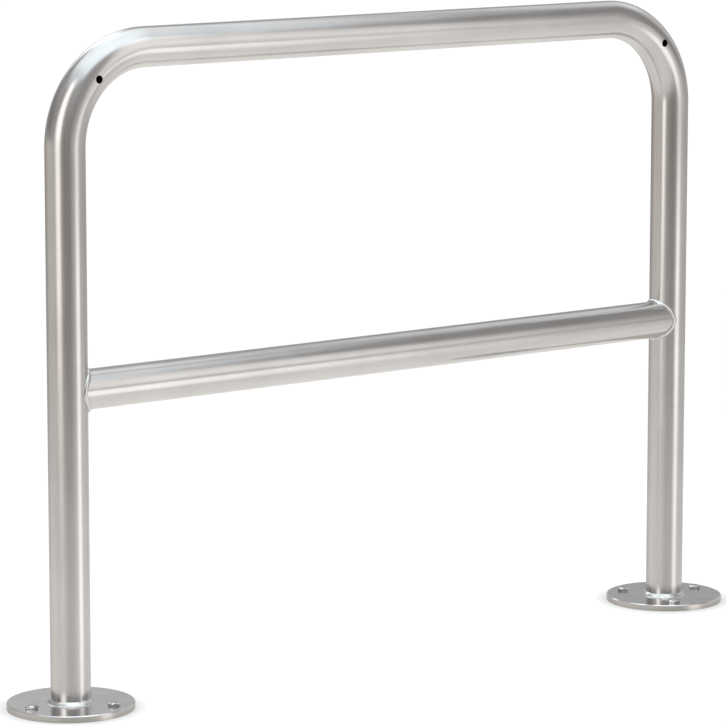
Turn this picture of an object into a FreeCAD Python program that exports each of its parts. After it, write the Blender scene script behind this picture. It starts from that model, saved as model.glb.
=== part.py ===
import FreeCAD, Part
import math
import os
import Sketcher

# Hoop barrier: one bent tube on two base plates, a mid rail coped and welded between its legs,
# and three anchor bolts in each plate. Millimetres, +Z up, X along the barrier, -Y its front.
# The origin lies on the ground, midway between the two legs.

SIZES = [
    ("overall_height", 1000, "ground to the top of the hoop"),
    ("post_spacing", 1200, "between the centre lines of the two legs"),
    ("tube_diameter", 60, "outside of the hoop and of the mid rail"),
    ("tube_wall", 2, "wall of both tubes"),
    ("bend_radius", 140, "centre line of the hoop's two bends"),
    ("mid_rail_height", 473, "ground to the centre line of the mid rail"),
    ("cope_gap", 0.2, "clearance of the coped rail end to the leg"),
    ("cope_oversize", 3, "added to the leg's radius for the cope, which takes off the thin tips"),
    ("vent_diameter", 12, "drilled in the front wall of each bend"),
    ("vent_angle", 45, "where on the bend the vent lies, in degrees"),
    ("plate_diameter", 190, "base plate"),
    ("plate_thickness", 10, "base plate"),
    ("plate_chamfer", 1, "broken top edge of the base plate"),
    ("bolts_per_plate", 3, "evenly spaced, the first one outward"),
    ("bolt_edge_distance", 25, "bolt centre line in from the plate's edge"),
    ("bolt_diameter", 12, "shank of the anchor bolt"),
    ("bolt_hole_clearance", 1.5, "added to the shank for the hole"),
    ("bolt_flats", 18, "across the flats of the head"),
    ("bolt_head_height", 5, "head above the plate"),
    ("bolt_top_share", 0.78, "flat circle on the head, as a share of the flats"),
    ("bolt_top_slope", 30, "bevel round the top of the head, in degrees"),
    ("foot_weld_leg", 5, "fillet between a leg and its plate"),
    ("rail_weld_leg", 3.5, "bead between the mid rail and a leg"),
]

LEFT = -1
RIGHT = 1

doc = FreeCAD.newDocument("barrier")
sheet = doc.addObject("Spreadsheet::Sheet", "sizes")
for row, (alias, value, note) in enumerate(SIZES, start=1):
    sheet.set(f"A{row}", alias)
    sheet.set(f"B{row}", str(value))
    sheet.set(f"C{row}", note)
    sheet.setAlias(f"B{row}", alias)
doc.recompute()

TUBE_RADIUS = "sizes.tube_diameter / 2"
TUBE_BORE_RADIUS = "sizes.tube_diameter / 2 - sizes.tube_wall"
HALF_SPACING = "sizes.post_spacing / 2"
TOP_CENTRE_HEIGHT = "sizes.overall_height - sizes.tube_diameter / 2"
COPE_RADIUS = "(sizes.tube_diameter / 2 + sizes.cope_oversize)"
COPE_SETBACK = "(sizes.cope_oversize - sizes.cope_gap)"
BOLT_CIRCLE_RADIUS = "(sizes.plate_diameter / 2 - sizes.bolt_edge_distance)"


def value_of(expression):
    return float(sheet.evalExpression(expression))


def origin_feature(body, role):
    return next(item for item in body.Origin.OriginFeatures if item.Role == role)


def new_body(name):
    body = doc.addObject("PartDesign::Body", name)
    body.Label = name
    return body


def place(piece, x, y="0", z="0", turn="0"):
    piece.Placement = FreeCAD.Placement(FreeCAD.Vector(), FreeCAD.Rotation(FreeCAD.Vector(0, 0, 1), 0))
    piece.setExpression("Placement.Base.x", x)
    piece.setExpression("Placement.Base.y", y)
    piece.setExpression("Placement.Base.z", z)
    piece.setExpression("Placement.Rotation.Angle", turn)


def new_sketch(body, name, plane_role):
    sketch = body.newObject("Sketcher::SketchObject", name)
    sketch.AttachmentSupport = [(origin_feature(body, plane_role), "")]
    sketch.MapMode = "FlatFace"
    return sketch


def drive(sketch, constraint, name, expression):
    index = sketch.addConstraint(constraint)
    sketch.renameConstraint(index, name)
    sketch.setExpression(f"Constraints.{name}", expression)


def pin_point(sketch, geometry, end, name, x, y):
    """Hold one point of the sketch at x, y, both given as expressions."""
    at_x = Sketcher.Constraint("DistanceX", -1, 1, geometry, end, value_of(x))
    at_y = Sketcher.Constraint("DistanceY", -1, 1, geometry, end, value_of(y))
    drive(sketch, at_x, name + "_x", x)
    drive(sketch, at_y, name + "_y", y)


def add_circle(sketch, name, radius, x="0", y="0", construction=False):
    centre = FreeCAD.Vector(value_of(x), value_of(y), 0)
    circle = Part.Circle(centre, FreeCAD.Vector(0, 0, 1), value_of(radius))
    index = sketch.addGeometry(circle, construction)
    if x == "0" and y == "0":
        sketch.addConstraint(Sketcher.Constraint("Coincident", index, 3, -1, 1))
    else:
        pin_point(sketch, index, 3, name, x, y)
    drive(sketch, Sketcher.Constraint("Radius", index, value_of(radius)), name + "_radius", radius)
    return index


def add_outline(sketch, corners):
    """Closed outline of straight edges through corners given as expressions."""
    points = [FreeCAD.Vector(value_of(x), value_of(y), 0) for x, y in corners]
    count = len(points)
    lines = []
    for i in range(count):
        lines.append(sketch.addGeometry(Part.LineSegment(points[i], points[(i + 1) % count])))
    for i in range(count):
        sketch.addConstraint(Sketcher.Constraint("Coincident", lines[i], 2, lines[(i + 1) % count], 1))
    for i, (x, y) in enumerate(corners):
        pin_point(sketch, lines[i], 1, f"corner_{i}", x, y)


def add_hoop_line(sketch):
    """Centre line of the hoop: leg, bend, top, bend, leg."""
    half = value_of(HALF_SPACING)
    foot = value_of("sizes.plate_thickness")
    top = value_of(TOP_CENTRE_HEIGHT)
    bend = value_of("sizes.bend_radius")
    up = FreeCAD.Vector(0, 0, 1)
    left_circle = Part.Circle(FreeCAD.Vector(bend - half, top - bend, 0), up, bend)
    right_circle = Part.Circle(FreeCAD.Vector(half - bend, top - bend, 0), up, bend)
    quarter = math.pi / 2
    pieces = [
        Part.LineSegment(FreeCAD.Vector(-half, foot, 0), FreeCAD.Vector(-half, top - bend, 0)),
        Part.ArcOfCircle(left_circle, quarter, 2 * quarter),
        Part.LineSegment(FreeCAD.Vector(bend - half, top, 0), FreeCAD.Vector(half - bend, top, 0)),
        Part.ArcOfCircle(right_circle, 0, quarter),
        Part.LineSegment(FreeCAD.Vector(half, top - bend, 0), FreeCAD.Vector(half, foot, 0)),
    ]
    left_leg, left_bend, top_run, right_bend, right_leg = [sketch.addGeometry(p) for p in pieces]
    for first, first_end, second, second_end in (
        (left_leg, 2, left_bend, 2),
        (top_run, 1, left_bend, 1),
        (top_run, 2, right_bend, 2),
        (right_leg, 1, right_bend, 1),
    ):
        sketch.addConstraint(Sketcher.Constraint("Tangent", first, first_end, second, second_end))
    sketch.addConstraint(Sketcher.Constraint("Vertical", left_leg))
    sketch.addConstraint(Sketcher.Constraint("Vertical", right_leg))
    sketch.addConstraint(Sketcher.Constraint("Horizontal", top_run))
    sketch.addConstraint(Sketcher.Constraint("Equal", left_bend, right_bend))
    sketch.addConstraint(Sketcher.Constraint("Symmetric", left_leg, 1, right_leg, 2, -2))
    drive(sketch, Sketcher.Constraint("Radius", left_bend, bend), "bend", "sizes.bend_radius")
    spacing = Sketcher.Constraint("DistanceX", left_leg, 1, right_leg, 2, 2 * half)
    drive(sketch, spacing, "spacing", "sizes.post_spacing")
    foot_height = Sketcher.Constraint("DistanceY", -1, 1, left_leg, 1, foot)
    drive(sketch, foot_height, "foot", "sizes.plate_thickness")
    top_height = Sketcher.Constraint("DistanceY", -1, 1, top_run, 1, top)
    drive(sketch, top_height, "top", TOP_CENTRE_HEIGHT)


def add_hexagon(sketch, flats):
    """Regular hexagon about the sketch's origin, two corners on its X axis."""
    corner = f"{flats} / 2 / cos(30)"
    ring = add_circle(sketch, "corners", corner, construction=True)
    reach = value_of(corner)
    points = []
    for i in range(6):
        turn = math.radians(60 * i)
        points.append(FreeCAD.Vector(reach * math.cos(turn), reach * math.sin(turn), 0))
    sides = [sketch.addGeometry(Part.LineSegment(points[i], points[(i + 1) % 6])) for i in range(6)]
    for i in range(6):
        sketch.addConstraint(Sketcher.Constraint("Coincident", sides[i], 2, sides[(i + 1) % 6], 1))
        sketch.addConstraint(Sketcher.Constraint("PointOnObject", sides[i], 1, ring))
    for i in range(1, 6):
        sketch.addConstraint(Sketcher.Constraint("Equal", sides[0], sides[i]))
    sketch.addConstraint(Sketcher.Constraint("PointOnObject", sides[0], 1, -1))


def must_remove(body, before, feature):
    """A cut that points away from the solid removes nothing and raises no error."""
    doc.recompute()
    if body.Shape.Volume > before - 1:
        raise RuntimeError(f"{feature.Name} removed nothing")


def make_hoop_tube():
    body = new_body("hoop_tube")
    line = new_sketch(body, "hoop_line", "XZ_Plane")
    add_hoop_line(line)
    section = new_sketch(body, "hoop_section", "XY_Plane")
    section.setExpression("AttachmentOffset.Base.x", f"-{HALF_SPACING}")
    section.setExpression("AttachmentOffset.Base.z", "sizes.plate_thickness")
    add_circle(section, "outside", TUBE_RADIUS)
    add_circle(section, "bore", TUBE_BORE_RADIUS)
    doc.recompute()
    pipe = body.newObject("PartDesign::AdditivePipe", "hoop_bend")
    pipe.Profile = section
    pipe.Spine = (line, [])
    doc.recompute()
    before = body.Shape.Volume

    vents = new_sketch(body, "vent_holes", "XZ_Plane")
    reach = f"({HALF_SPACING} - sizes.bend_radius + sizes.bend_radius * cos(sizes.vent_angle))"
    height = f"{TOP_CENTRE_HEIGHT} - sizes.bend_radius + sizes.bend_radius * sin(sizes.vent_angle)"
    add_circle(vents, "left_vent", "sizes.vent_diameter / 2", f"-{reach}", height)
    add_circle(vents, "right_vent", "sizes.vent_diameter / 2", reach, height)
    cut = body.newObject("PartDesign::Pocket", "vent_cut")
    cut.Profile = vents
    cut.Reversed = True      # towards -Y, so only the front wall is drilled
    cut.setExpression("Length", "sizes.tube_diameter")
    must_remove(body, before, cut)
    return body


def make_mid_rail():
    body = new_body("mid_rail")
    section = new_sketch(body, "rail_section", "YZ_Plane")
    add_circle(section, "outside", TUBE_RADIUS, "0", "sizes.mid_rail_height")
    add_circle(section, "bore", TUBE_BORE_RADIUS, "0", "sizes.mid_rail_height")
    run = body.newObject("PartDesign::Pad", "rail_run")
    run.Profile = section
    run.Midplane = True
    run.setExpression("Length", "sizes.post_spacing")
    doc.recompute()
    before = body.Shape.Volume

    legs = new_sketch(body, "cope_circles", "XY_Plane")
    reach = f"({HALF_SPACING} + {COPE_SETBACK})"
    add_circle(legs, "left_leg", COPE_RADIUS, f"-{reach}", "0")
    add_circle(legs, "right_leg", COPE_RADIUS, reach, "0")
    cope = body.newObject("PartDesign::Pocket", "cope_cut")
    cope.Profile = legs
    cope.Reversed = True     # up through the rail
    cope.setExpression("Length", "sizes.overall_height")
    must_remove(body, before, cope)
    return body


def make_base_plate(name, side):
    body = new_body(name)
    disc = new_sketch(body, name + "_outline", "XY_Plane")
    add_circle(disc, "edge", "sizes.plate_diameter / 2")
    slab = body.newObject("PartDesign::Pad", name + "_slab")
    slab.Profile = disc
    slab.setExpression("Length", "sizes.plate_thickness")
    doc.recompute()
    before = body.Shape.Volume

    hole = new_sketch(body, name + "_hole", "XY_Plane")
    hole_radius = "(sizes.bolt_diameter + sizes.bolt_hole_clearance) / 2"
    add_circle(hole, "bolt_hole", hole_radius, BOLT_CIRCLE_RADIUS, "0")
    drill = body.newObject("PartDesign::Pocket", name + "_drill")
    drill.Profile = hole
    drill.Reversed = True    # up through the plate
    drill.setExpression("Length", "sizes.plate_thickness")
    must_remove(body, before, drill)

    ring = body.newObject("PartDesign::PolarPattern", name + "_bolt_ring")
    ring.Originals = [drill]
    ring.Axis = (origin_feature(body, "Z_Axis"), [""])
    ring.Angle = 360
    ring.setExpression("Occurrences", "sizes.bolts_per_plate")
    body.Tip = ring
    doc.recompute()

    top = value_of("sizes.plate_thickness")
    edge_radius = value_of("sizes.plate_diameter / 2")
    rim = [
        f"Edge{i}"
        for i, edge in enumerate(ring.Shape.Edges, start=1)
        if isinstance(edge.Curve, Part.Circle)
        and math.isclose(edge.Curve.Radius, edge_radius, abs_tol=1e-6)
        and math.isclose(edge.Curve.Center.z, top, abs_tol=1e-6)
    ]
    bevel = body.newObject("PartDesign::Chamfer", name + "_bevel")
    bevel.Base = (ring, rim)
    bevel.setExpression("Size", "sizes.plate_chamfer")
    body.Tip = bevel
    place(body, f"{side} * {HALF_SPACING}", turn="0" if side == RIGHT else "180")
    return body


def make_bolt(name, side, bearing):
    """Hex head bolt; its shank ends flush with the underside of the plate."""
    body = new_body(name)
    rod = new_sketch(body, name + "_rod", "XY_Plane")
    add_circle(rod, "shank", "sizes.bolt_diameter / 2")
    shank = body.newObject("PartDesign::Pad", name + "_shank")
    shank.Profile = rod
    shank.setExpression("Length", "sizes.plate_thickness + sizes.bolt_head_height / 2")
    doc.recompute()

    hexagon = new_sketch(body, name + "_hexagon", "XY_Plane")
    hexagon.setExpression("AttachmentOffset.Base.z", "sizes.plate_thickness")
    add_hexagon(hexagon, "sizes.bolt_flats")
    head = body.newObject("PartDesign::Pad", name + "_head")
    head.Profile = hexagon
    head.setExpression("Length", "sizes.bolt_head_height")
    doc.recompute()
    before = body.Shape.Volume

    slope = new_sketch(body, name + "_slope", "XZ_Plane")
    flat = "sizes.bolt_flats / 2 * sizes.bolt_top_share"
    outside = "sizes.bolt_flats"
    top = "(sizes.plate_thickness + sizes.bolt_head_height)"
    low = f"{top} - ({outside} - {flat}) * tan(sizes.bolt_top_slope)"
    over = f"{top} + sizes.bolt_head_height"
    add_outline(slope, [(flat, top), (outside, low), (outside, over), (flat, over)])
    bevel = body.newObject("PartDesign::Groove", name + "_bevel")
    bevel.Profile = slope
    bevel.ReferenceAxis = (slope, ["V_Axis"])
    bevel.Angle = 360
    must_remove(body, before, bevel)

    x = f"{side} * {HALF_SPACING} + {BOLT_CIRCLE_RADIUS} * cos({bearing})"
    y = f"{BOLT_CIRCLE_RADIUS} * sin({bearing})"
    place(body, x, y, turn=str(bearing))
    return body


def make_foot_weld(name, side):
    body = new_body(name)
    section = new_sketch(body, name + "_section", "XZ_Plane")
    toe = f"{TUBE_RADIUS} + sizes.foot_weld_leg"
    crown = "sizes.plate_thickness + sizes.foot_weld_leg"
    floor = "sizes.plate_thickness"
    add_outline(section, [(TUBE_RADIUS, floor), (toe, floor), (TUBE_RADIUS, crown)])
    ring = body.newObject("PartDesign::Revolution", name + "_ring")
    ring.Profile = section
    ring.ReferenceAxis = (section, ["V_Axis"])
    ring.Angle = 360
    place(body, f"{side} * {HALF_SPACING}")
    return body


def add_cylinder(name, radius, height, x="0", z="0", lying=False):
    """Cylinder standing on z, or lying along +X from x."""
    piece = doc.addObject("Part::Cylinder", name)
    piece.Placement.Rotation = FreeCAD.Rotation(FreeCAD.Vector(0, 1, 0), 90 if lying else 0)
    piece.setExpression("Radius", radius)
    piece.setExpression("Height", height)
    piece.setExpression("Placement.Base.x", x)
    piece.setExpression("Placement.Base.z", z)
    return piece


def add_boolean(kind, name, base, tool):
    piece = doc.addObject(kind, name)
    piece.Base = base
    piece.Tool = tool
    return piece


def make_rail_weld(name, side):
    """Bead round the coped end of the rail, drawn for a rail that runs along +X from a leg on the Z axis.

    It keeps within one bead's width of both tubes and of the rail's end, and stops at their metal.
    """
    reach = "2 * sizes.tube_diameter"
    low = "-sizes.tube_diameter"
    hull = f"{TUBE_RADIUS} + sizes.rail_weld_leg"
    round_leg = add_cylinder(name + "_round_leg", hull, reach, z=low)
    rail_tip = f"sqrt({COPE_RADIUS} ^ 2 - ({TUBE_RADIUS}) ^ 2) - {COPE_SETBACK}"
    hull_start = f"{rail_tip} - sizes.rail_weld_leg"
    round_rail = add_cylinder(name + "_round_rail", hull, reach, x=hull_start, lying=True)
    behind_x = f"-{COPE_SETBACK} - sizes.rail_weld_leg"
    behind = add_cylinder(name + "_behind", COPE_RADIUS, reach, x=behind_x, z=low)
    leg = add_cylinder(name + "_leg", TUBE_RADIUS, reach, z=low)
    rail_bar = add_cylinder(name + "_rail_bar", TUBE_RADIUS, reach, lying=True)
    cope = add_cylinder(name + "_cope", COPE_RADIUS, reach, x=f"-{COPE_SETBACK}", z=low)
    rail = add_boolean("Part::Cut", name + "_rail", rail_bar, cope)
    near = add_boolean("Part::Common", name + "_near", round_leg, round_rail)
    trimmed = add_boolean("Part::Cut", name + "_trimmed", near, behind)
    off_leg = add_boolean("Part::Cut", name + "_off_leg", trimmed, leg)
    piece = add_boolean("Part::Cut", name, off_leg, rail)
    piece.Label = name
    turn = "0" if side == LEFT else "180"
    place(piece, f"{side} * {HALF_SPACING}", z="sizes.mid_rail_height", turn=turn)
    return piece


def check_document():
    for item in doc.Objects:
        if "Invalid" in item.State or "Error" in item.State:
            raise RuntimeError(f"{item.Name} is {item.State}")


nodes = [make_hoop_tube(), make_mid_rail()]
for side, side_name, outward in ((LEFT, "left", 180), (RIGHT, "right", 0)):
    nodes.append(make_base_plate(f"{side_name}_base_plate", side))
    nodes.append(make_foot_weld(f"{side_name}_foot_weld", side))
    nodes.append(make_rail_weld(f"{side_name}_rail_weld", side))
    count = int(value_of("sizes.bolts_per_plate"))
    for i in range(count):
        bearing = (outward + i * 360 / count) % 360
        place_name = "outer" if i == 0 else ("back" if bearing < 180 else "front")
        nodes.append(make_bolt(f"{side_name}_{place_name}_bolt", side, bearing))

doc.recompute()
check_document()
os.makedirs("parts", exist_ok=True)
for node in nodes:
    if node.Shape.isNull() or not node.Shape.isValid():
        raise RuntimeError(f"{node.Label} has no valid shape")
    node.Shape.exportStep(f"parts/{node.Label}.step")
    box = node.Shape.BoundBox
    print(f"{node.Label}: {len(node.Shape.Solids)} solid, {node.Shape.Volume:.0f} mm3,",
          f"x {box.XMin:.1f}..{box.XMax:.1f} y {box.YMin:.1f}..{box.YMax:.1f} z {box.ZMin:.1f}..{box.ZMax:.1f}")
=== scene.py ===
import math
import bpy
from mathutils import Matrix, Vector


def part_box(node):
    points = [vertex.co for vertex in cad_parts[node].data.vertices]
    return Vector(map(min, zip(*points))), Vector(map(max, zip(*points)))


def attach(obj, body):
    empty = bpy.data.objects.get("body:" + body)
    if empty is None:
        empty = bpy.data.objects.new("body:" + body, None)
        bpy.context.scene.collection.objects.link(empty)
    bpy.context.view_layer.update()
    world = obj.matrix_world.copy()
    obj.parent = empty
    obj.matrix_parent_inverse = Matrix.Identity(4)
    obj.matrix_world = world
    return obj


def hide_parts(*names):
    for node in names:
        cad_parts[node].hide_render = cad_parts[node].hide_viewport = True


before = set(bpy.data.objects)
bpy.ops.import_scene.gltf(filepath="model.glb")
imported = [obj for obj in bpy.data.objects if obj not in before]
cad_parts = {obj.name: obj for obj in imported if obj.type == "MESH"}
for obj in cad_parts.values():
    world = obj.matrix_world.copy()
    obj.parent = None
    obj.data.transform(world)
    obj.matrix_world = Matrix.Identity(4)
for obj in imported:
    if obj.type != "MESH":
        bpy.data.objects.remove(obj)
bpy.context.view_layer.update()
print("frame loaded:", ", ".join(sorted(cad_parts)))

mm = 0.001
hoopLow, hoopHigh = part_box("hoop_tube")
railLow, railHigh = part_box("mid_rail")
tubeRadius = (hoopHigh.y - hoopLow.y) / 2
legX = hoopHigh.x - tubeRadius            # centre line of the right leg
topZ = hoopHigh.z - tubeRadius            # centre line of the top run
footZ = hoopLow.z                         # top of the base plates
railZ = (railLow.z + railHigh.z) / 2
sides = {"left": -1, "right": 1}
plateLow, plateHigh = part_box("right_base_plate")
plateRadius = (plateHigh.x - plateLow.x) / 2


# ---- sockets as numbers, so that shader and geometry maths read as sums

class Sock:
    def __init__(self, graph, socket):
        self.graph, self.socket = graph, socket

    def calc(self, operation, *others):
        values = dict(enumerate((self, *others)))
        return self.graph.node("ShaderNodeMath", {"operation": operation}, values)

    def __add__(self, other):
        return self.calc("ADD", other)

    def __radd__(self, other):
        return self.calc("ADD", other)

    def __sub__(self, other):
        return self.calc("SUBTRACT", other)

    def __rsub__(self, other):
        return self.graph.number("SUBTRACT", other, self)

    def __mul__(self, other):
        return self.calc("MULTIPLY", other)

    def __rmul__(self, other):
        return self.calc("MULTIPLY", other)

    def __truediv__(self, other):
        return self.calc("DIVIDE", other)

    def __rtruediv__(self, other):
        return self.graph.number("DIVIDE", other, self)

    def __pow__(self, other):
        return self.calc("POWER", other)

    def ease(self, low, high, fromValue=0.0, toValue=1.0):
        values = {"Value": self, "From Min": low, "From Max": high, "To Min": fromValue, "To Max": toValue}
        return self.graph.node("ShaderNodeMapRange", {"interpolation_type": "SMOOTHSTEP"}, values)


class Graph:
    def __init__(self, tree):
        self.tree = tree

    def node(self, kind, settings=None, values=None, out=0):
        made = self.tree.nodes.new(kind)
        for key, value in (settings or {}).items():
            setattr(made, key, value)
        for key, value in (values or {}).items():
            self.feed(made.inputs[key], value)
        return Sock(self, made.outputs[out])

    def feed(self, target, value):
        if isinstance(value, Sock):
            self.tree.links.new(value.socket, target)
        else:
            target.default_value = value

    def number(self, operation, first, second):
        return self.node("ShaderNodeMath", {"operation": operation}, {0: first, 1: second})

    def vector(self, operation, first, second):
        return self.node("ShaderNodeVectorMath", {"operation": operation}, {0: first, 1: second})

    def dot(self, first, second):
        values = {0: first, 1: second}
        return self.node("ShaderNodeVectorMath", {"operation": "DOT_PRODUCT"}, values, "Value")

    def scaled(self, vector, amount):
        return self.node("ShaderNodeVectorMath", {"operation": "SCALE"}, {0: vector, "Scale": amount})

    def split(self, vector):
        made = self.tree.nodes.new("ShaderNodeSeparateXYZ")
        self.feed(made.inputs[0], vector)
        return [Sock(self, made.outputs[i]) for i in range(3)]

    def noise(self, vector, scale, detail, roughness):
        values = {"Vector": vector, "Scale": scale, "Detail": detail, "Roughness": roughness}
        return self.node("ShaderNodeTexNoise", None, values, "Fac")

    def tint(self, amount, first, second):
        made = self.tree.nodes.new("ShaderNodeMix")
        made.data_type = "RGBA"
        colours = [s for s in made.inputs if s.type == "RGBA"]
        self.feed(made.inputs[0], amount)
        self.feed(colours[0], first)
        self.feed(colours[1], second)
        return Sock(self, next(s for s in made.outputs if s.type == "RGBA"))


# ---- metals: colours, roughness and depths of relief; noise scales are per metre

satinTubeLook = {
    "light": (0.70, 0.685, 0.67, 1), "deep": (0.62, 0.60, 0.585, 1),
    "blotchScale": 9, "blotchShare": 0.55, "streakShare": 0.45,
    "roughness": 0.135, "grainRoughness": 0.085, "streakRoughness": 0.04,
    "grainAcross": 1100, "grainAlong": 26, "streakAcross": 170, "streakAlong": 5,
    "grainDepth": 0.016 * mm, "streakDepth": 0.026 * mm, "waveScale": 5, "waveDepth": 0.10 * mm,
    "dressedFrom": 0.10, "dressedFull": 0.05,      # distances inwards from the legs' centre lines
    "dressedScale": (520, 6, 6), "dressedRoughness": 0.12,
}
plateLook = {
    # rim is a painted reflection: a darker, browner colour for the plate's side face below its chamfer
    "light": (0.86, 0.855, 0.855, 1), "deep": (0.75, 0.75, 0.755, 1), "rim": (0.57, 0.54, 0.51, 1),
    "blotchScale": 30, "blotchShare": 0.6, "grainShare": 0.4,
    "roughness": 0.13, "grainRoughness": 0.05,
    "stainScale": 14, "stain": (0.5, 0.75), "stainRoughness": 0.05,
    "grainAcross": 1400, "grainAlong": 40, "grainDepth": 0.004 * mm,
    "rimInwards": (0.8 * mm, 0.3 * mm), "rimDown": (1.4 * mm, 1.1 * mm),
}
weldLook = {
    "light": (0.83, 0.82, 0.81, 1), "deep": (0.66, 0.645, 0.63, 1), "lumps": (0.3, 0.6),
    "oxide": (0.30, 0.26, 0.23, 1), "oxideToe": (0.86, 1.04), "oxideRagged": 0.16,
    # underShade is painted shade: a darker colour for the lower half of each rail weld, clear of the foot
    # welds
    "underShade": (0.68, 0.665, 0.65, 1), "underShadeAbove": (60 * mm, 80 * mm), "underShadeBelowRail": (-12 * mm, 6 * mm),
    "roughness": 0.10, "lumpRoughness": 0.12, "lumpScale": 420, "lumpDepth": 0.10 * mm,
}
boltLook = {
    "light": (0.80, 0.79, 0.78, 1), "deep": (0.58, 0.57, 0.56, 1),
    "blotchScale": 160, "blotchShare": 0.7, "grainShare": 0.3,
    "roughness": 0.08, "grainRoughness": 0.07, "grainScale": 900, "grainDepth": 0.01 * mm,
}
mottle = (0.3, 0.7)      # stretch of the noise between the deep and the light colour


def metal(name, colour, roughness, height):
    # colour, roughness and height are functions of the graph, the height in metres
    material = bpy.data.materials.new(name)
    material.use_nodes = True
    graph = Graph(material.node_tree)
    shader = next(n for n in graph.tree.nodes if n.type == "BSDF_PRINCIPLED")
    shader.inputs["Metallic"].default_value = 1.0
    graph.feed(shader.inputs["Base Color"], colour(graph))
    graph.feed(shader.inputs["Roughness"], roughness(graph))
    relief = {"Strength": 1.0, "Distance": mm, "Height": height(graph) / mm}
    bump = graph.node("ShaderNodeBump", None, relief)
    graph.feed(shader.inputs["Normal"], bump)
    return material


def objectPoint(graph):
    return graph.node("ShaderNodeTexCoord", None, None, "Object")


def tubePoint(graph):      # along the tube, then across it
    return graph.node("ShaderNodeAttribute", {"attribute_name": "grainPos"}, None, "Vector")


def stretched(graph, point, along, across):
    return graph.vector("MULTIPLY", point, (along, across, across))


def satinTubeMaterial():
    look = satinTubeLook

    def grain(graph):
        point = stretched(graph, tubePoint(graph), look["grainAlong"], look["grainAcross"])
        return graph.noise(point, scale=1, detail=3, roughness=0.6)

    def streak(graph):
        point = stretched(graph, tubePoint(graph), look["streakAlong"], look["streakAcross"])
        return graph.noise(point, scale=1, detail=2, roughness=0.55)

    def dressed(graph):      # the rail beside its welds, and all that lies further out
        fromMiddle = graph.split(objectPoint(graph))[0].calc("ABSOLUTE")
        return fromMiddle.ease(legX - look["dressedFrom"], legX - look["dressedFull"])

    def colour(graph):
        blotch = graph.noise(objectPoint(graph), look["blotchScale"], detail=3, roughness=0.6)
        mixed = blotch * look["blotchShare"] + streak(graph) * look["streakShare"]
        return graph.tint(mixed.ease(*mottle), look["deep"], look["light"])

    def roughness(graph):
        point = graph.vector("MULTIPLY", objectPoint(graph), look["dressedScale"])
        marks = graph.noise(point, scale=1, detail=2, roughness=0.5)
        fine = grain(graph) * look["grainRoughness"] + streak(graph) * look["streakRoughness"]
        return look["roughness"] + fine + (marks - 0.5) * dressed(graph) * look["dressedRoughness"]

    def height(graph):
        wave = graph.noise(objectPoint(graph), look["waveScale"], detail=1, roughness=0.4)
        fine = grain(graph) * look["grainDepth"] + streak(graph) * look["streakDepth"]
        return fine + wave * look["waveDepth"]

    return metal("satinTube", colour, roughness, height)


def plateMaterial():
    look = plateLook

    def grain(graph):
        point = stretched(graph, objectPoint(graph), look["grainAlong"], look["grainAcross"])
        return graph.noise(point, scale=1, detail=3, roughness=0.6)

    def colour(graph):
        blotch = graph.noise(objectPoint(graph), look["blotchScale"], detail=3, roughness=0.6)
        mixed = blotch * look["blotchShare"] + grain(graph) * look["grainShare"]
        face = graph.tint(mixed.ease(*mottle), look["deep"], look["light"])
        x, y, z = graph.split(objectPoint(graph))
        fromLeg = x.calc("ABSOLUTE") - legX
        inner, outer = (plateRadius - inwards for inwards in look["rimInwards"])
        lower, upper = (plateHigh.z - down for down in look["rimDown"])
        rim = ((fromLeg * fromLeg + y * y) ** 0.5).ease(inner, outer) * z.ease(lower, upper, 1, 0)
        return graph.tint(rim, face, look["rim"])      # painted reflection: the plate's side face is darker and browner, standing in for the dim room it reflects low down

    def roughness(graph):
        stain = graph.noise(objectPoint(graph), look["stainScale"], detail=4, roughness=0.6)
        fine = grain(graph) * look["grainRoughness"]
        return look["roughness"] + fine + stain.ease(*look["stain"]) * look["stainRoughness"]

    def height(graph):
        return grain(graph) * look["grainDepth"]

    return metal("brushedPlate", colour, roughness, height)


def weldMaterial():
    look = weldLook

    def lump(graph):
        return graph.noise(objectPoint(graph), look["lumpScale"], detail=2, roughness=0.5)

    def colour(graph):
        clean = graph.tint(lump(graph).ease(*look["lumps"]), look["deep"], look["light"])
        z = graph.split(objectPoint(graph))[2]
        full, gone = (railZ + up for up in look["underShadeBelowRail"])
        underRail = z.ease(*look["underShadeAbove"]) * z.ease(full, gone, 1, 0)
        clean = graph.tint(underRail, clean, look["underShade"])      # painted shade: the lower half of each rail weld, below the rail's middle, takes a darker colour
        across = graph.node("ShaderNodeAttribute", {"attribute_name": "across"}, None, "Fac")
        toe = (across.calc("ABSOLUTE") + lump(graph) * look["oxideRagged"]).ease(*look["oxideToe"])
        return graph.tint(toe, clean, look["oxide"])

    def roughness(graph):
        return look["roughness"] + lump(graph) * look["lumpRoughness"]

    def height(graph):
        return lump(graph) * look["lumpDepth"]

    return metal("weldMetal", colour, roughness, height)


def boltMaterial():
    look = boltLook

    def grain(graph):
        return graph.noise(objectPoint(graph), look["grainScale"], detail=3, roughness=0.6)

    def colour(graph):
        blotch = graph.noise(objectPoint(graph), look["blotchScale"], detail=2, roughness=0.6)
        mixed = blotch * look["blotchShare"] + grain(graph) * look["grainShare"]
        return graph.tint(mixed.ease(*mottle), look["deep"], look["light"])

    def roughness(graph):
        return look["roughness"] + grain(graph) * look["grainRoughness"]

    def height(graph):
        return grain(graph) * look["grainDepth"]

    return metal("boltSteel", colour, roughness, height)


satinTube, brushedPlate = satinTubeMaterial(), plateMaterial()
weldMetal, boltSteel = weldMaterial(), boltMaterial()
print("metals ready")


# ---- mesh helpers

def turnsRound(count, start=0.0):
    # bearings evenly round a circle, from start steps past zero
    return [2 * math.pi * (i + start) / count for i in range(count)]


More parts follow.
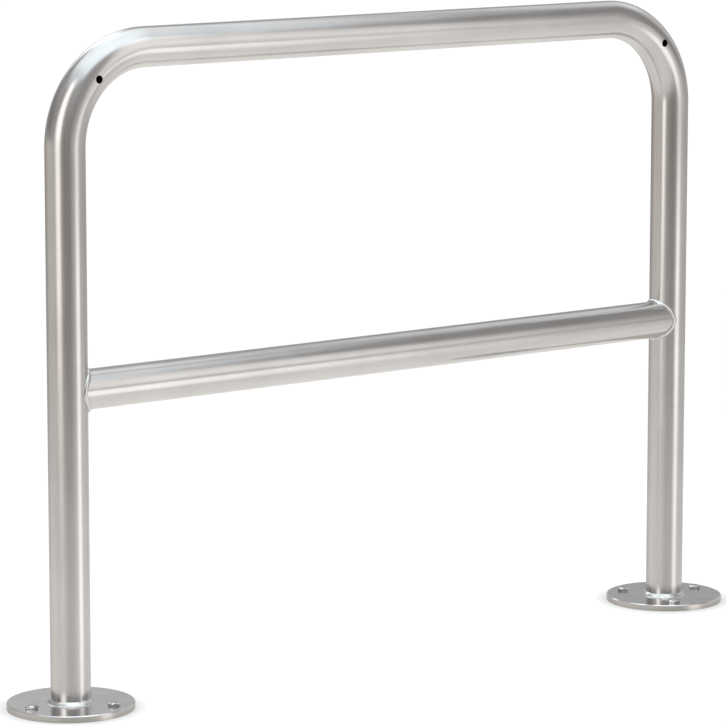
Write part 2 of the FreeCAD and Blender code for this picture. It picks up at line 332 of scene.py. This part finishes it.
def meshObject(name, points, faces, edges=(), attributes=None):
    mesh = bpy.data.meshes.new(name)
    mesh.from_pydata(points, list(edges), faces)
    for key, values in (attributes or {}).items():
        if isinstance(values[0], (int, float)):
            mesh.attributes.new(key, "FLOAT", "POINT").data.foreach_set("value", values)
        else:
            flat = [c for v in values for c in v]
            mesh.attributes.new(key, "FLOAT_VECTOR", "POINT").data.foreach_set("vector", flat)
    mesh.update()
    piece = bpy.data.objects.new(name, mesh)
    bpy.context.collection.objects.link(piece)
    return piece


def loft(rings, closedAlong=False):
    # quads between rings of equal length, each ring closed on itself
    count, size = len(rings), len(rings[0])
    points = [p for ring in rings for p in ring]
    faces = []
    for i in range(count if closedAlong else count - 1):
        a, b = i * size, (i + 1) % count * size
        for j in range(size):
            k = (j + 1) % size
            faces.append((a + j, a + k, b + k, b + j))
    return points, faces


def faceOutward(piece):
    mesh = piece.data
    mesh.calc_loop_triangles()
    total = 0.0
    for t in mesh.loop_triangles:
        a, b, c = (mesh.vertices[i].co for i in t.vertices)
        total += a.dot(b.cross(c))
    if total < 0:
        mesh.flip_normals()


def freeze(piece, name):
    # modifiers become plain mesh
    depsgraph = bpy.context.evaluated_depsgraph_get()
    mesh = bpy.data.meshes.new_from_object(piece.evaluated_get(depsgraph), preserve_all_data_layers=True,
                                           depsgraph=depsgraph)
    finished = bpy.data.objects.new(name, mesh)
    bpy.context.collection.objects.link(finished)
    bpy.data.objects.remove(piece)
    return finished


def cutAway(piece, cutters, name):
    # each cutter's hole by an exact boolean, then plain mesh
    for cutter in cutters:
        cut = piece.modifiers.new("cut", "BOOLEAN")
        cut.object, cut.operation, cut.solver = cutter, "DIFFERENCE", "EXACT"
    finished = freeze(piece, name)
    for cutter in cutters:
        bpy.data.objects.remove(cutter)
    return finished


def throughNodes(piece, tree, inputs, name):
    modifier = piece.modifiers.new("shape", "NODES")
    modifier.node_group = tree
    for item in tree.interface.items_tree:
        if item.item_type == "SOCKET" and item.in_out == "INPUT" and item.name in inputs:
            modifier[item.identifier] = inputs[item.name]
    return freeze(piece, name)


def newTree(name, sockets):
    # a geometry tree with named inputs; returns its graph and the inputs by name
    tree = bpy.data.node_groups.new(name, "GeometryNodeTree")
    tree.interface.new_socket("Geometry", in_out="INPUT", socket_type="NodeSocketGeometry")
    for label, kind in sockets.items():
        tree.interface.new_socket(label, in_out="INPUT", socket_type="NodeSocket" + kind)
    tree.interface.new_socket("Geometry", in_out="OUTPUT", socket_type="NodeSocketGeometry")
    graph = Graph(tree)
    start = tree.nodes.new("NodeGroupInput")
    return graph, {s.name: Sock(graph, s) for s in start.outputs if s.name}


def endTree(graph, geometry, material):
    solid = graph.node("GeometryNodeRealizeInstances", None, {"Geometry": geometry})
    dressed = graph.node("GeometryNodeSetMaterial", None, {"Geometry": solid, "Material": material})
    finish = graph.tree.nodes.new("NodeGroupOutput")
    graph.feed(finish.inputs[0], dressed)
    return graph.tree


def finishPiece(piece, nodes, sharpAngle):
    piece.data.shade_smooth()
    piece.data.set_sharp_from_angle(angle=math.radians(sharpAngle))
    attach(piece, "root")
    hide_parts(*nodes)


# ---- hoop: one bent tube with a vent in the front of each bend

hoop = {"wall": 2.0 * mm, "bendRadius": 0.140, "bendSteps": 48, "aroundSteps": 96,
        "ventRadius": 6.0 * mm, "ventBearing": 45, "ventSides": 64,
        "rolled": 0.9}      # a face this close to the true round shades as part of it


def hoopTree():
    sockets = {"Bend Radius": "Float", "Bend Steps": "Int", "Tube Radius": "Float", "Around Steps": "Int",
               "Material": "Material"}
    graph, given = newTree("bentTube", sockets)
    path = graph.node("GeometryNodeMeshToCurve", None, {"Mesh": given["Geometry"]})
    bent = graph.node("GeometryNodeFilletCurve", {"mode": "POLY"},
                      {"Curve": path, "Count": given["Bend Steps"], "Radius": given["Bend Radius"]})
    length = graph.node("GeometryNodeSplineParameter", None, None, "Length")
    measured = graph.node("GeometryNodeStoreNamedAttribute", {"data_type": "FLOAT", "domain": "POINT"},
                          {"Geometry": bent, "Name": "along", "Value": length})
    ring = graph.node("GeometryNodeCurvePrimitiveCircle", {"mode": "RADIUS"},
                      {"Resolution": given["Around Steps"], "Radius": given["Tube Radius"]})
    place = graph.node("GeometryNodeInputPosition")
    marked = graph.node("GeometryNodeStoreNamedAttribute", {"data_type": "FLOAT_VECTOR", "domain": "POINT"},
                        {"Geometry": ring, "Name": "ringPos", "Value": place})
    skin = graph.node("GeometryNodeCurveToMesh", None, {"Curve": measured, "Profile Curve": marked})
    along = graph.node("GeometryNodeInputNamedAttribute", {"data_type": "FLOAT"}, {"Name": "along"})
    across = graph.node("GeometryNodeInputNamedAttribute", {"data_type": "FLOAT_VECTOR"},
                        {"Name": "ringPos"})
    x, y, _ = graph.split(across)
    grain = graph.node("ShaderNodeCombineXYZ", None, {0: along, 1: x, 2: y})
    skin = graph.node("GeometryNodeStoreNamedAttribute", {"data_type": "FLOAT_VECTOR", "domain": "POINT"},
                      {"Geometry": skin, "Name": "grainPos", "Value": grain})
    return endTree(graph, skin, given["Material"])


def hoopCentre(p):
    # the centre line's point nearest to p
    bendZ, bendX = topZ - hoop["bendRadius"], legX - hoop["bendRadius"]
    side = math.copysign(1, p.x)
    if p.z < bendZ:
        return Vector((side * legX, 0, p.z))
    if abs(p.x) < bendX:
        return Vector((p.x, 0, topZ))
    away = Vector((p.x - side * bendX, 0, p.z - bendZ)).normalized() * hoop["bendRadius"]
    return Vector((side * bendX, 0, bendZ)) + away


def ventCutter(side):
    bearing = math.radians(hoop["ventBearing"])
    x = side * (legX - hoop["bendRadius"] * (1 - math.cos(bearing)))
    z = topZ - hoop["bendRadius"] * (1 - math.sin(bearing))
    radius, count = hoop["ventRadius"], hoop["ventSides"]
    circle = [(x + radius * math.cos(t), z + radius * math.sin(t)) for t in turnsRound(count)]
    points, faces = loft([[(x, y, z) for x, z in circle] for y in (-2 * tubeRadius, 0)])
    faces += [tuple(range(count))[::-1], tuple(range(count, 2 * count))]
    cutter = meshObject("ventCutter", points, faces)
    faceOutward(cutter)
    return cutter


def makeHoop():
    corners = [(-legX, 0, footZ), (-legX, 0, topZ), (legX, 0, topZ), (legX, 0, footZ)]
    path = meshObject("hoopPath", corners, [], edges=[(0, 1), (1, 2), (2, 3)])
    inputs = {"Bend Radius": hoop["bendRadius"], "Bend Steps": hoop["bendSteps"], "Tube Radius": tubeRadius,
              "Around Steps": hoop["aroundSteps"], "Material": satinTube}
    skin = throughNodes(path, hoopTree(), inputs, "hoopSkin")
    face = skin.data.polygons[0]
    if face.normal.dot(face.center - hoopCentre(face.center)) < 0:
        skin.data.flip_normals()
    wall = skin.modifiers.new("wall", "SOLIDIFY")
    wall.thickness, wall.offset, wall.use_even_offset = hoop["wall"], -1, True
    tube = cutAway(skin, [ventCutter(side) for side in sides.values()], "hoopTube")
    trueNormals(tube)
    return tube


def trueNormals(tube):
    # the rolled surfaces shade as true rounds right up to the edge of a vent
    mesh = tube.data
    mesh.shade_smooth()
    normals = []
    for face in mesh.polygons:
        for index in face.vertices:
            p = mesh.vertices[index].co
            away = p - hoopCentre(p)
            distance = away.length
            away.normalize()
            if distance < tubeRadius - hoop["wall"] / 2:
                away = -away
            normals.append(away if away.dot(face.normal) > hoop["rolled"] else face.normal.copy())
    mesh.normals_split_custom_set(normals)


hoopTube = makeHoop()
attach(hoopTube, "root")
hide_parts("hoop_tube")
print("hoop ready:", len(hoopTube.data.polygons), "faces")


# ---- mid rail: straight tube, coped at both ends round the legs

rail = {"wall": 2.0 * mm, "copeOversize": 3.0 * mm, "copeGap": 0.2 * mm,
        "aroundSteps": 96, "stations": 24, "sharpAngle": 35}
copeRadius = tubeRadius + rail["copeOversize"]
copeSetback = rail["copeOversize"] - rail["copeGap"]


def copeReach(y):      # how far from the leg's centre line the rail ends
    return math.sqrt(copeRadius ** 2 - y ** 2) - copeSetback


def makeRail():
    rings, grain = [], []
    stations = rail["stations"]
    outside = (tubeRadius, range(stations + 1))
    inside = (tubeRadius - rail["wall"], range(stations, -1, -1))
    for radius, order in (outside, inside):
        for i in order:
            ring = []
            for t in turnsRound(rail["aroundSteps"]):
                y, z = radius * math.cos(t), radius * math.sin(t)
                end = legX - copeReach(y)
                x = -end + 2 * end * i / stations
                ring.append((x, y, railZ + z))
                grain.append((x, y, z))
            rings.append(ring)
    points, faces = loft(rings, closedAlong=True)
    tube = meshObject("midRail", points, faces, attributes={"grainPos": grain})
    faceOutward(tube)
    tube.data.materials.append(satinTube)
    finishPiece(tube, ["mid_rail"], rail["sharpAngle"])


makeRail()
print("mid rail ready")


# ---- welds: a swept bead, then ripples laid along it

weld = {"alongStep": 0.36 * mm, "acrossSteps": 14, "sink": 0.15 * mm, "depth": 0.8 * mm,
        "ripplePitch": 2.4 * mm, "rippleHeight": 0.24 * mm, "rippleCurve": 0.6, "crescent": 1.4 * mm,
        "lumpScale": 110, "lumpDetail": 2.0, "lumpHeight": 0.6 * mm, "sharpAngle": 60,
        "waves": [(3, 0.35), (5, 0.3), (9, 0.2), (14, 0.15)],      # of a toe: how many round the seam, share
        "waveSpread": 2.4, "otherToe": 1.7}
footWeld = {"onPlate": 5.2 * mm, "onLeg": 5.0 * mm, "crown": 0.32 * mm, "wander": 0.8 * mm,
            "toeSeed": 1.0, "rippleSeed": 3.0}
railWeld = {"tipWidth": 3.4 * mm, "crotchWidth": 4.4 * mm, "tipCrown": 2.2 * mm, "crotchCrown": 1.5 * mm,
            "wander": 0.5 * mm, "toeSeed": 5.0, "rippleSeed": 7.0}


def weldTree():
    sockets = {"Ripple Pitch": "Float", "Ripple Height": "Float", "Crescent": "Float", "Lump Scale": "Float",
               "Lump Height": "Float", "Seed": "Float", "Material": "Material"}
    graph, given = newTree("weldRipples", sockets)
    along = graph.node("GeometryNodeInputNamedAttribute", {"data_type": "FLOAT"}, {"Name": "along"})
    across = graph.node("GeometryNodeInputNamedAttribute", {"data_type": "FLOAT"}, {"Name": "across"})
    place = graph.node("GeometryNodeInputPosition")
    face = 1 - across * across
    lump = graph.node("ShaderNodeTexNoise", {"noise_dimensions": "4D"},
                      {"Vector": place, "W": given["Seed"], "Scale": given["Lump Scale"],
                       "Detail": weld["lumpDetail"]})
    phase = (along - given["Crescent"] * face + (lump - 0.5) * given["Ripple Pitch"]) / given["Ripple Pitch"]
    step = phase.calc("FRACT")
    scale = (1 - step) ** weld["rippleCurve"]
    lift = face * (scale - 0.5) * given["Ripple Height"] + (lump - 0.5) * face * given["Lump Height"]
    normal = graph.node("GeometryNodeInputNormal")
    moved = graph.node("GeometryNodeSetPosition", None,
                       {"Geometry": given["Geometry"], "Offset": graph.scaled(normal, lift)})
    return endTree(graph, moved, given["Material"])


rippleTree = weldTree()


def layBead(name, sections, length, seed, nodes):
    # sections: closed rings across the bead, the last point of each buried in the metal
    points, faces = loft(sections, closedAlong=True)
    size, count = len(sections[0]), len(sections)
    along, across = [], []
    for i in range(count):
        for j in range(size):
            along.append(length * i / count)
            across.append(1.0 if j == size - 1 else -1 + 2 * j / (size - 2))
    bead = meshObject(name + "Plain", points, faces, attributes={"along": along, "across": across})
    faceOutward(bead)
    pitch = length / round(length / weld["ripplePitch"])      # a whole number of ripples
    inputs = {"Ripple Pitch": pitch, "Ripple Height": weld["rippleHeight"], "Crescent": weld["crescent"],
              "Lump Scale": weld["lumpScale"], "Lump Height": weld["lumpHeight"], "Seed": seed,
              "Material": weldMetal}
    bead = throughNodes(bead, rippleTree, inputs, name)
    finishPiece(bead, nodes, weld["sharpAngle"])


def wander(turn, seed):      # slow wavering of a hand-laid edge, from -1 to 1
    shift = weld["waveSpread"] * seed
    return sum(share * math.sin(count * turn + shift * count) for count, share in weld["waves"])


def beadSection(toeA, toeB, crown, buried):
    # from one toe over the crown to the other, then back through the buried point
    ring = []
    for j in range(weld["acrossSteps"] + 1):
        turn = math.pi / 2 * j / weld["acrossSteps"]
        share = math.sin(turn) ** 2
        ring.append(toeA * (1 - share) + toeB * share + crown * math.sin(2 * turn))
    ring.append(buried)
    return ring


def footSection(turn, centreX, seed):
    out = Vector((math.cos(turn), math.sin(turn), 0))
    up = Vector((0, 0, 1))
    corner = Vector((centreX, 0, footZ)) + out * tubeRadius
    outReach = footWeld["onPlate"] + footWeld["wander"] * wander(turn, seed)
    upReach = footWeld["onLeg"] + footWeld["wander"] * wander(turn, seed + weld["otherToe"])
    onPlate = corner + out * outReach - up * weld["sink"]
    onLeg = corner + up * upReach - out * weld["sink"]
    lean = (out + up).normalized()
    return beadSection(onPlate, onLeg, lean * footWeld["crown"], corner - lean * weld["depth"])


def seamPoint(turn):      # edge of the coped rail, from a leg on the Z axis with the rail along +X
    y = tubeRadius * math.cos(turn)
    return Vector((copeReach(y), y, tubeRadius * math.sin(turn)))


def railSection(turn, seed):
    corner = seamPoint(turn)
    step = 1e-4
    along = (seamPoint(turn + step) - seamPoint(turn - step)).normalized()
    railOut = Vector((0, math.cos(turn), math.sin(turn)))
    offEnd = along.cross(railOut).normalized()
    if offEnd.x > 0:
        offEnd = -offEnd
    legOut = Vector((corner.x, corner.y, 0)).normalized()
    slope = offEnd + railOut
    onto = (slope - legOut * slope.dot(legOut)).normalized()
    crotch = abs(math.sin(turn))
    width = railWeld["tipWidth"] + (railWeld["crotchWidth"] - railWeld["tipWidth"]) * crotch
    crown = railWeld["tipCrown"] + (railWeld["crotchCrown"] - railWeld["tipCrown"]) * crotch
    onLeg = corner + onto * (width + railWeld["wander"] * wander(turn, seed))
    sunk = Vector((onLeg.x, onLeg.y, 0)).normalized() * (tubeRadius - weld["sink"])
    onLeg = Vector((sunk.x, sunk.y, onLeg.z))
    onRail = corner - offEnd * (width + railWeld["wander"] * wander(turn, seed + weld["otherToe"]))
    sunk = Vector((0, onRail.y, onRail.z)).normalized() * (tubeRadius - weld["sink"])
    onRail = Vector((onRail.x, sunk.y, sunk.z))
    lean = (legOut + railOut).normalized()
    return beadSection(onLeg, onRail, lean * crown, corner - lean * weld["depth"])


def seamTurns():
    # turns spaced evenly along the seam, and its length
    fine = 2000
    turns = [2 * math.pi * i / fine for i in range(fine + 1)]
    run = [0.0]
    for i in range(fine):
        run.append(run[-1] + (seamPoint(turns[i + 1]) - seamPoint(turns[i])).length)
    count = round(run[-1] / weld["alongStep"])
    spaced, k = [], 0
    for i in range(count):
        goal = run[-1] * i / count
        while run[k + 1] < goal:
            k += 1
        spaced.append(turns[k] + (turns[k + 1] - turns[k]) * (goal - run[k]) / (run[k + 1] - run[k]))
    return spaced, run[-1]


def makeWelds():
    footLength = 2 * math.pi * (tubeRadius + footWeld["onPlate"] / 2)
    footCount = round(footLength / weld["alongStep"])
    turns, seamLength = seamTurns()
    for i, (name, side) in enumerate(sides.items()):
        around = turnsRound(footCount)
        sections = [footSection(t, side * legX, footWeld["toeSeed"] + i) for t in around]
        layBead(name + "FootWeld", sections, footLength, footWeld["rippleSeed"] + i, [name + "_foot_weld"])
        place = Matrix.Translation((side * legX, 0, railZ)) @ Matrix.Diagonal((-side, 1, 1, 1))
        sections = [[place @ p for p in railSection(t, railWeld["toeSeed"] + i)] for t in turns]
        layBead(name + "RailWeld", sections, seamLength, railWeld["rippleSeed"] + i, [name + "_rail_weld"])


makeWelds()
print("welds ready")


# ---- base plates

plate = {"bevel": 1.2 * mm, "underBevel": 0.4 * mm, "aroundSteps": 192, "sharpAngle": 30,
         "bolts": 3, "holeRadius": 6.75 * mm, "holeSides": 48}


def boltRing(name, side):
    # the ring's radius, and the bearing of its outer bolt
    low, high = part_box(name + "_outer_bolt")
    return abs((low.x + high.x) / 2 - side * legX), (math.pi if side < 0 else 0.0)


def drum(name, rows, steps):
    # closed round with flat ends from rows of centre x, centre y, radius and height
    turns = turnsRound(steps, 0.5)
    rings = [[(x + r * math.cos(t), y + r * math.sin(t), z) for t in turns] for x, y, r, z in rows]
    points, faces = loft(rings)
    faces += [tuple(range(steps))[::-1], tuple(range(len(points) - steps, len(points)))]
    piece = meshObject(name, points, faces)
    faceOutward(piece)
    return piece


def makePlate(name, side):
    low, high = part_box(name + "_base_plate")
    radius = (high.x - low.x) / 2
    top, bevel, under = high.z, plate["bevel"], plate["underBevel"]
    profile = [(radius - under, low.z), (radius, low.z + under),
               (radius, top - bevel), (radius - bevel, top)]
    centre = side * legX
    slab = drum(name + "PlateSlab", [(centre, 0, r, z) for r, z in profile], plate["aroundSteps"])
    slab.data.materials.append(brushedPlate)
    ringRadius, firstBearing = boltRing(name, side)
    holes = []
    for turn in turnsRound(plate["bolts"]):
        x = centre + ringRadius * math.cos(turn + firstBearing)
        y = ringRadius * math.sin(turn + firstBearing)
        rows = [(x, y, plate["holeRadius"], z) for z in (low.z - bevel, top + bevel)]
        holes.append(drum("boltHole", rows, plate["holeSides"]))
    disc = cutAway(slab, holes, name + "Plate")
    finishPiece(disc, [name + "_base_plate"], plate["sharpAngle"])


# ---- anchor bolts: one bolt, then a ring of them on each plate

bolt = {"shankRadius": 6.0 * mm, "flats": 18.0 * mm, "head": 5.0 * mm, "washerFace": 0.5 * mm,
        "topShare": 0.78, "topSlope": 30, "cornerRound": 0.22 * mm, "edge": 0.25 * mm,
        "shankRound": 0.6 * mm, "aroundSteps": 72, "sharpAngle": 25, "turnSeed": 4}


def hexRadius(turn):
    half, sixth = bolt["flats"] / 2, math.pi / 3
    fromFlat = (turn + sixth / 2) % sixth - sixth / 2      # from the middle of the nearest flat
    return min(half / math.cos(fromFlat), half / math.cos(sixth / 2) - bolt["cornerRound"])


def boltProfile(corner):
    # radius and height up the bolt, where the hexagon's edge is at the radius corner
    shank, flat = bolt["shankRadius"], bolt["flats"] / 2 * bolt["topShare"]
    top, washerTop = footZ + bolt["head"], footZ + bolt["washerFace"]
    slope = math.tan(math.radians(bolt["topSlope"]))
    return [(shank - bolt["shankRound"], 0), (shank, bolt["shankRound"]), (shank, footZ),
            (flat, footZ), (flat, washerTop), (corner - bolt["edge"], washerTop),
            (corner, washerTop + bolt["edge"]), (corner, top - (corner - flat) * slope), (flat, top)]


def boltMesh():
    steps = bolt["aroundSteps"]
    turns = turnsRound(steps)
    rows = zip(*(boltProfile(hexRadius(t)) for t in turns))
    rings = [[(r * math.cos(t), r * math.sin(t), z) for t, (r, z) in zip(turns, row)] for row in rows]
    points, faces = loft(rings)
    low, high = len(points), len(points) + 1
    points += [(0, 0, 0), (0, 0, footZ + bolt["head"])]
    last = (len(rings) - 1) * steps
    for j in range(steps):
        k = (j + 1) % steps
        faces.append((low, k, j))
        faces.append((high, last + j, last + k))
    return points, faces


def boltRingTree():
    sockets = {"Ring Radius": "Float", "Bolts": "Int", "First Bearing": "Float", "Centre X": "Float",
               "Seed": "Int", "Material": "Material"}
    graph, given = newTree("boltRing", sockets)
    ring = graph.node("GeometryNodeMeshCircle", None,
                      {"Vertices": given["Bolts"], "Radius": given["Ring Radius"]})
    spin = graph.tree.nodes.new("FunctionNodeRandomValue")
    spin.data_type = "FLOAT"
    graph.feed([s for s in spin.inputs if s.name == "Max" and s.type == "VALUE"][0], math.pi / 3)
    graph.feed(spin.inputs["Seed"], given["Seed"])
    turn = Sock(graph, [s for s in spin.outputs if s.type == "VALUE"][0])
    facing = graph.node("ShaderNodeCombineXYZ", None, {2: turn})
    placed = graph.node("GeometryNodeInstanceOnPoints", None,
                        {"Points": ring, "Instance": given["Geometry"], "Rotation": facing})
    centre = graph.node("ShaderNodeCombineXYZ", None, {0: given["Centre X"]})
    bearing = graph.node("ShaderNodeCombineXYZ", None, {2: given["First Bearing"]})
    moved = graph.node("GeometryNodeTransform", None,
                       {"Geometry": placed, "Translation": centre, "Rotation": bearing})
    return endTree(graph, moved, given["Material"])


boltTree = boltRingTree()


def makeBolts(name, side, seed):
    points, faces = boltMesh()
    single = meshObject(name + "Bolt", points, faces)
    faceOutward(single)
    ringRadius, firstBearing = boltRing(name, side)
    inputs = {"Ring Radius": ringRadius, "Bolts": plate["bolts"], "First Bearing": firstBearing,
              "Centre X": side * legX, "Seed": seed, "Material": boltSteel}
    bolts = throughNodes(single, boltTree, inputs, name + "Bolts")
    nodes = [f"{name}_{place}_bolt" for place in ("outer", "front", "back")]
    finishPiece(bolts, nodes, bolt["sharpAngle"])


for i, (name, side) in enumerate(sides.items()):
    makePlate(name, side)
    makeBolts(name, side, bolt["turnSeed"] + i)
print("plates and bolts ready")


# ---- floor, light and camera

# seen at full strength near the middle and gone further out, with a painted shadow round each leg: close
# round each plate the floor glows less and is seen more
floorLook = {"radius": 6.0, "sides": 96, "colour": (0.92, 0.91, 0.90, 1), "glow": 0.48,
             "full": 0.2, "gone": 5.0, "strength": 0.38,
             "shadowRingFull": 0.096, "shadowRingGone": 0.130, "shadowRingStrength": 0.22, "shadowRingGlow": 0.05}


def makeFloor():
    look = floorLook
    radius, sideCount = look["radius"], look["sides"]
    rim = [(radius * math.cos(t), radius * math.sin(t), 0) for t in turnsRound(sideCount)]
    floor = meshObject("floor", rim, [tuple(range(sideCount))])
    material = bpy.data.materials.new("paleFloor")
    material.use_nodes = True
    graph = Graph(material.node_tree)
    graph.tree.nodes.clear()
    x, y, _ = graph.split(objectPoint(graph))
    fromMiddle = (x * x + y * y) ** 0.5
    beside = x.calc("ABSOLUTE") - legX
    fromLeg = (beside * beside + y * y) ** 0.5
    seen = fromMiddle.ease(look["full"], look["gone"], look["strength"], 0.0)
    seen = seen + fromLeg.ease(look["shadowRingFull"], look["shadowRingGone"], look["shadowRingStrength"], 0.0)
    # painted shadow: the floor's glow drops in a ring close round each plate
    strength = fromLeg.ease(look["shadowRingFull"], look["shadowRingGone"], look["shadowRingGlow"], look["glow"])
    matt = graph.node("ShaderNodeBsdfDiffuse", None, {"Color": look["colour"]})
    glow = graph.node("ShaderNodeEmission", None, {"Color": look["colour"], "Strength": strength})
    lit = graph.node("ShaderNodeAddShader", None, {0: matt, 1: glow})
    clear = graph.node("ShaderNodeBsdfTransparent")
    mixed = graph.node("ShaderNodeMixShader", None, {0: seen, 1: clear, 2: lit})
    out = graph.tree.nodes.new("ShaderNodeOutputMaterial")
    graph.feed(out.inputs["Surface"], mixed)
    floor.data.materials.append(material)


# the dim room round the lights: its level low down, straight below and above the horizon, the heights of a
# direction where one passes into the next, and the side where the light from low down is plain
room = {"level": 0.53, "deep": 0.70, "above": 0.43, "backdrop": 1.02,
        "deepRise": (-0.48, -0.20), "horizon": (-0.06, 0.08), "plainSide": (335, 25, 25),
        "lowTint": (1.0, 0.955, 0.905, 1), "plainTint": (1.0, 0.99, 0.98, 1),
        "highTint": (1.0, 0.99, 0.985, 1)}
panels = [      # azimuth, half width, soft edge, change of level below the horizon and above it
    (140, 25, 25, 0.12, -0.02),       # pale wall behind on the left
    (120, 22, 14, 0.0, -0.15),        # darker over part of it
    (243, 8, 30, -0.25, -0.12),       # dark gap beside the camera
    (304, 3, 17, 0.10, 0.0),          # two pale strips in front on the right
    (325, 5, 20, 0.06, 0.0),
    (85, 15, 25, -0.14, 0.0),         # darker low down behind
    (350, 20, 35, -0.02, -0.12),      # darker high up on the right
    (64, 4, 14, 0.0, 0.10),           # pale strip behind
    (47, 4, 10, 0.0, -0.03),          # and a slightly darker one beside it
]
undersides = [      # azimuth, half width, soft edge, change straight below
    (25, 30, 40, 0.13), (215, 50, 40, -0.08),
]
ceiling = [      # azimuth, elevation, half width, soft edge, change of level
    (8, 22, 17, 11, 0.34), (240, 34, 16, 12, 0.12), (125, 42, 18, 12, 0.15), (34, 40, 10, 12, 0.06),
]
softboxTints = {"warm": (1.0, 0.96, 0.925), "plain": (1.0, 0.99, 0.98),
                "cool": (0.86, 0.935, 1.0), "sky": (0.74, 0.90, 1.0)}
softboxes = {      # soft is the share of the width and of the height over which each edge fades
    "left": {"place": (-4.7, -1.0, 2.9), "target": (0, 0, 2.9), "size": (3.1, 7.0),
             "soft": (0.38, 0.11), "brightness": 0.77, "tint": "warm"},
    "leftHigh": {"place": (-4.7, -0.9, 3.7), "target": (0, -0.1, 3.7), "size": (4.4, 6.2),
                 "soft": (0.36, 0.16), "brightness": 0.34, "tint": "warm"},
    "right": {"place": (2.60, -4.57, 3.9), "target": (0, 0, 3.9), "size": (4.2, 7.6),
              "soft": (0.30, 0.25), "brightness": 0.59, "tint": "plain"},
    "rightLow": {"place": (2.34, -4.63, -0.95), "target": (0, 0, -0.95), "size": (3.5, 3.2),
                 "soft": (0.36, 0.26), "brightness": 0.74, "tint": "plain"},
    "overhead": {"place": (0.05, -0.1, 3.0), "target": (0.05, -0.1, 0), "size": (4.1, 4.8),
                 "soft": (0.18, 0.18), "brightness": 0.56, "tint": "cool"},
    "overheadLeft": {"place": (-0.85, -0.2, 2.98), "target": (-0.85, -0.2, 0), "size": (4.1, 3.6),
                     "soft": (0.24, 0.20), "brightness": 0.40, "tint": "sky"},
    "backRight": {"place": (2.9, 1.2, 3.0), "target": (2.9, 1.2, 0), "size": (4.0, 3.2),
                  "soft": (0.25, 0.25), "brightness": 0.32, "tint": "cool"},
    "window": {"place": (0.8, 4.2, 4.5), "target": (-0.4, 0, 4.5), "size": (2.7, 5.3),
               "soft": (0.25, 0.12), "brightness": 0.95, "tint": "cool"},
}
wattsPerRadiance = 4      # of each square metre of an area light


def makeWorld():
    world = bpy.data.worlds.new("studio")
    bpy.context.scene.world = world
    world.use_nodes = True
    graph = Graph(world.node_tree)
    graph.tree.nodes.clear()
    way = graph.node("ShaderNodeTexCoord", None, None, "Generated")
    z = graph.split(way)[2]
    flatWay = graph.node("ShaderNodeVectorMath", {"operation": "NORMALIZE"},
                         {0: graph.vector("MULTIPLY", way, (1, 1, 0))})

    def patch(facing, half, soft):
        far, near = math.radians(half + soft), math.radians(max(half - soft, 0))
        return facing.ease(math.cos(far), math.cos(near))

    def panel(azimuth, half, soft):
        a = math.radians(azimuth)
        return patch(graph.dot(flatWay, (math.cos(a), math.sin(a), 0)), half, soft)

    low, high = room["level"], room["above"]
    for azimuth, half, soft, below, above in panels:
        mask = panel(azimuth, half, soft)
        low, high = low + mask * below, high + mask * above
    under = room["deep"]
    for azimuth, half, soft, change in undersides:
        under = under + panel(azimuth, half, soft) * change
    lower = low + (under - low) * z.ease(*room["deepRise"], 1, 0)
    up = z.ease(*room["horizon"])
    level = lower + (high - lower) * up
    for azimuth, elevation, half, soft, change in ceiling:
        a, e = math.radians(azimuth), math.radians(elevation)
        facing = graph.dot(way, (math.cos(a) * math.cos(e), math.sin(a) * math.cos(e), math.sin(e)))
        level = level + patch(facing, half, soft) * change
    lowTint = graph.tint(panel(*room["plainSide"]), room["lowTint"], room["plainTint"])
    light = graph.scaled(graph.tint(up, lowTint, room["highTint"]), level)
    around = graph.node("ShaderNodeBackground", None, {"Color": light})
    backdrop = graph.node("ShaderNodeBackground", None,
                          {"Color": (1, 1, 1, 1), "Strength": room["backdrop"]})
    seen = graph.node("ShaderNodeLightPath", None, None, "Is Camera Ray")
    both = graph.node("ShaderNodeMixShader", None, {0: seen, 1: around, 2: backdrop})
    out = graph.tree.nodes.new("ShaderNodeOutputWorld")
    graph.feed(out.inputs["Surface"], both)


def makeSoftbox(name, box):
    # a rectangle of light that fades towards its edges
    width, height = box["size"]
    light = bpy.data.lights.new(name, "AREA")
    light.shape, light.size, light.size_y = "RECTANGLE", width, height
    light.energy = box["brightness"] * wattsPerRadiance * width * height
    light.color = softboxTints[box["tint"]]
    light.use_nodes = True
    graph = Graph(light.node_tree)
    graph.tree.nodes.clear()
    u, v, _ = graph.split(graph.node("ShaderNodeNewGeometry", None, None, "Parametric"))
    softAcross, softUp = box["soft"]
    across = u.ease(0, softAcross) * u.ease(1 - softAcross, 1, 1, 0)
    upward = v.ease(0, softUp) * v.ease(1 - softUp, 1, 1, 0)
    glow = graph.node("ShaderNodeEmission", None, {"Strength": across * upward})
    out = graph.tree.nodes.new("ShaderNodeOutputLight")
    graph.feed(out.inputs["Surface"], glow)
    lamp = bpy.data.objects.new(name, light)
    lamp.location = box["place"]
    lamp.rotation_euler = (Vector(box["target"]) - Vector(box["place"])).to_track_quat("-Z", "Y").to_euler()
    lamp.visible_camera = False
    bpy.context.collection.objects.link(lamp)


makeFloor()
makeWorld()
for name, box in softboxes.items():
    makeSoftbox(name + "Softbox", box)

view = {"place": (-3.8846, -4.7332, 1.4153), "yaw": 39.05, "pitch": 8.89, "roll": 0.04,
        "lens": 197.8, "clipEnd": 100}
cameraData = bpy.data.cameras.new("camera")
cameraData.lens = view["lens"]
cameraData.clip_end = view["clipEnd"]
camera = bpy.data.objects.new("camera", cameraData)
turnAcross = Matrix.Rotation(math.radians(-view["yaw"]), 4, "Z")
tipUp = Matrix.Rotation(math.radians(90 - view["pitch"]), 4, "X")
rollOver = Matrix.Rotation(math.radians(view["roll"]), 4, "Z")
camera.matrix_world = Matrix.Translation(view["place"]) @ turnAcross @ tipUp @ rollOver
bpy.context.collection.objects.link(camera)
bpy.context.scene.camera = camera
bpy.context.scene.view_settings.view_transform = "Standard"
print("studio ready")
